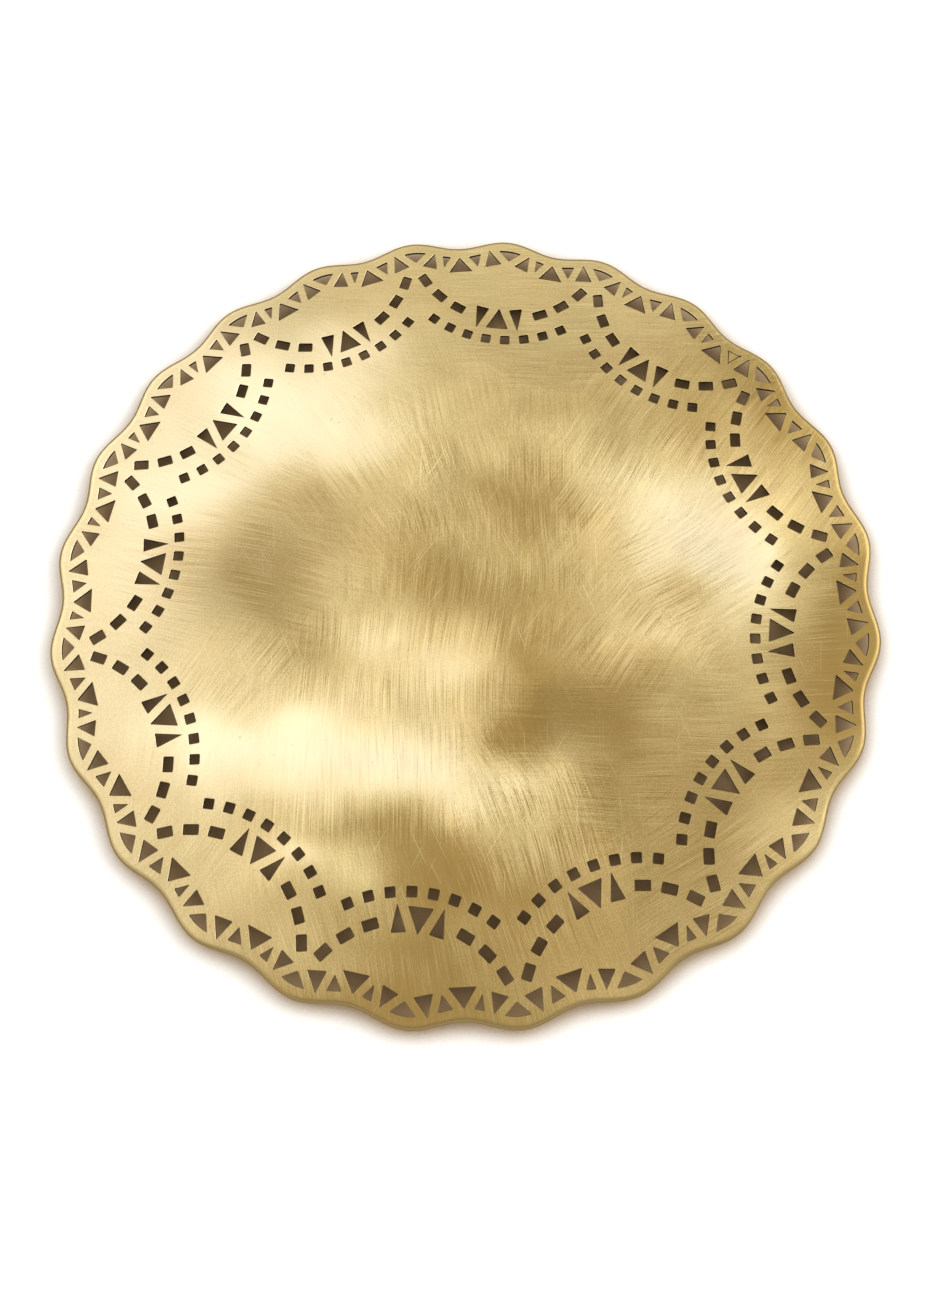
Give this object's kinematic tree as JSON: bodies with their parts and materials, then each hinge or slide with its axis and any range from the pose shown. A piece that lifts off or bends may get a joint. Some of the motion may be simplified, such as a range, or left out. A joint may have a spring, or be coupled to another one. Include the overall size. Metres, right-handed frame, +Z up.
{
  "type": "scalloped lace doily plate",
  "caption": "Round table doily cut from brushed sheet brass, with a scalloped rim and a pierced lace border, raised on low rubber pads.",
  "frame": {"origin": "on the table, under the centre of the plate", "axes": "+Z up, out of the plate's brushed face; +Y from the centre through the middle of one swag; +X to the right seen from above"},
  "size_m": [0.3, 0.3, 0.0062],
  "materials": {
    "brass_sheet": "hand brushed",
    "rubber_pad": "matte"
  },
  "bodies": {
    "root": {"lace_plate": "brass_sheet", "pads": "rubber_pad"}
  },
  "joints": []
}
